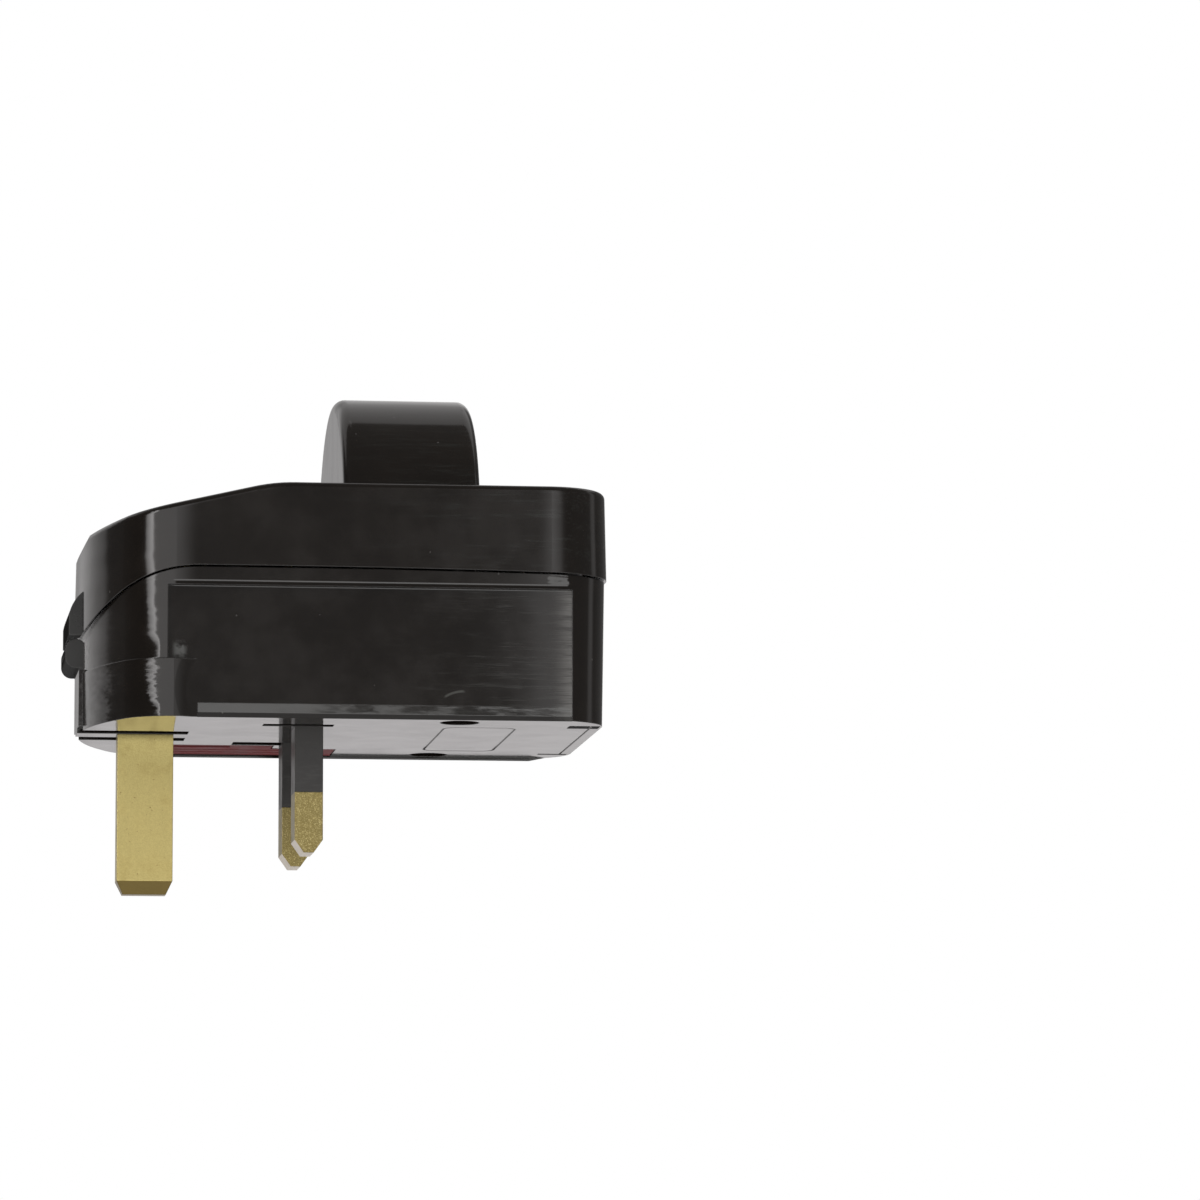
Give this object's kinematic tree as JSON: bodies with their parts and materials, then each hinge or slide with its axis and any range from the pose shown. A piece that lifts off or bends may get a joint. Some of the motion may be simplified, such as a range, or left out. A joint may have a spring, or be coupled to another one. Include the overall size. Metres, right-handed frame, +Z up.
{
  "type": "plug adapter",
  "caption": "Black fused plug adapter: flat brass pins underneath, a hinged lid with a round hump, and a bay inside that clamps a round-pin plug.",
  "frame": {"origin": "on the pin face, midway between the earth pin and the line through the other two pins", "axes": "+X from the hinge end with the earth pin to the cable end, +Z up to the lid, pins down along -Z"},
  "size_m": [0.0755, 0.0526, 0.0712],
  "materials": {
    "base_plastic": "moulded black plastic, semi-gloss",
    "lid_plastic": "moulded black plastic, semi-gloss",
    "pin_brass": "drawn brass, lightly stained",
    "strip_brass": "rolled brass strip",
    "rivet_brass": "turned brass",
    "sleeve_plastic": "moulded dark grey plastic, satin",
    "block_plastic": "moulded black plastic, matt",
    "carrier_plastic": "moulded dark red plastic",
    "fuse_ceramic": "unglazed white ceramic",
    "fuse_cap": "nickel plate",
    "screw_steel": "zinc-plated steel"
  },
  "bodies": {
    "base": {"base_shell": "base_plastic", "hinge_pin": "screw_steel", "earth_pin": "pin_brass", "line_pin": "pin_brass", "neutral_pin": "pin_brass", "line_pin_sleeve": "sleeve_plastic", "neutral_pin_sleeve": "sleeve_plastic", "lid_screw_near": "screw_steel", "lid_screw_far": "screw_steel", "contact_block": "block_plastic", "line_contact": "strip_brass", "neutral_contact": "strip_brass", "neutral_strap": "strip_brass", "line_fuse_clip": "strip_brass", "load_fuse_clip": "strip_brass", "line_strap": "strip_brass", "strap_rivet": "rivet_brass", "earth_strap": "strip_brass", "earth_spring": "strip_brass", "earth_rivet": "rivet_brass", "earth_pin_screw": "screw_steel", "line_pin_screw": "screw_steel", "neutral_pin_screw": "screw_steel", "block_screw_near": "screw_steel", "block_screw_far": "screw_steel"},
    "lid": {"lid": "lid_plastic"},
    "fuse_tray": {"fuse_carrier": "carrier_plastic", "fuse_tube": "fuse_ceramic", "fuse_cap_line": "fuse_cap", "fuse_cap_load": "fuse_cap"}
  },
  "joints": [
    {"name": "lid_hinge", "type": "hinge", "parent": "base", "child": "lid", "pos_m": [-0.0213, 0, 0.0115], "axis": [0, -1, 0], "range_deg": [0, 90]},
    {"name": "fuse_carrier_slide", "type": "slide", "parent": "base", "child": "fuse_tray", "axis": [0, 0, -1], "range_m": [0, 0.01]}
  ]
}
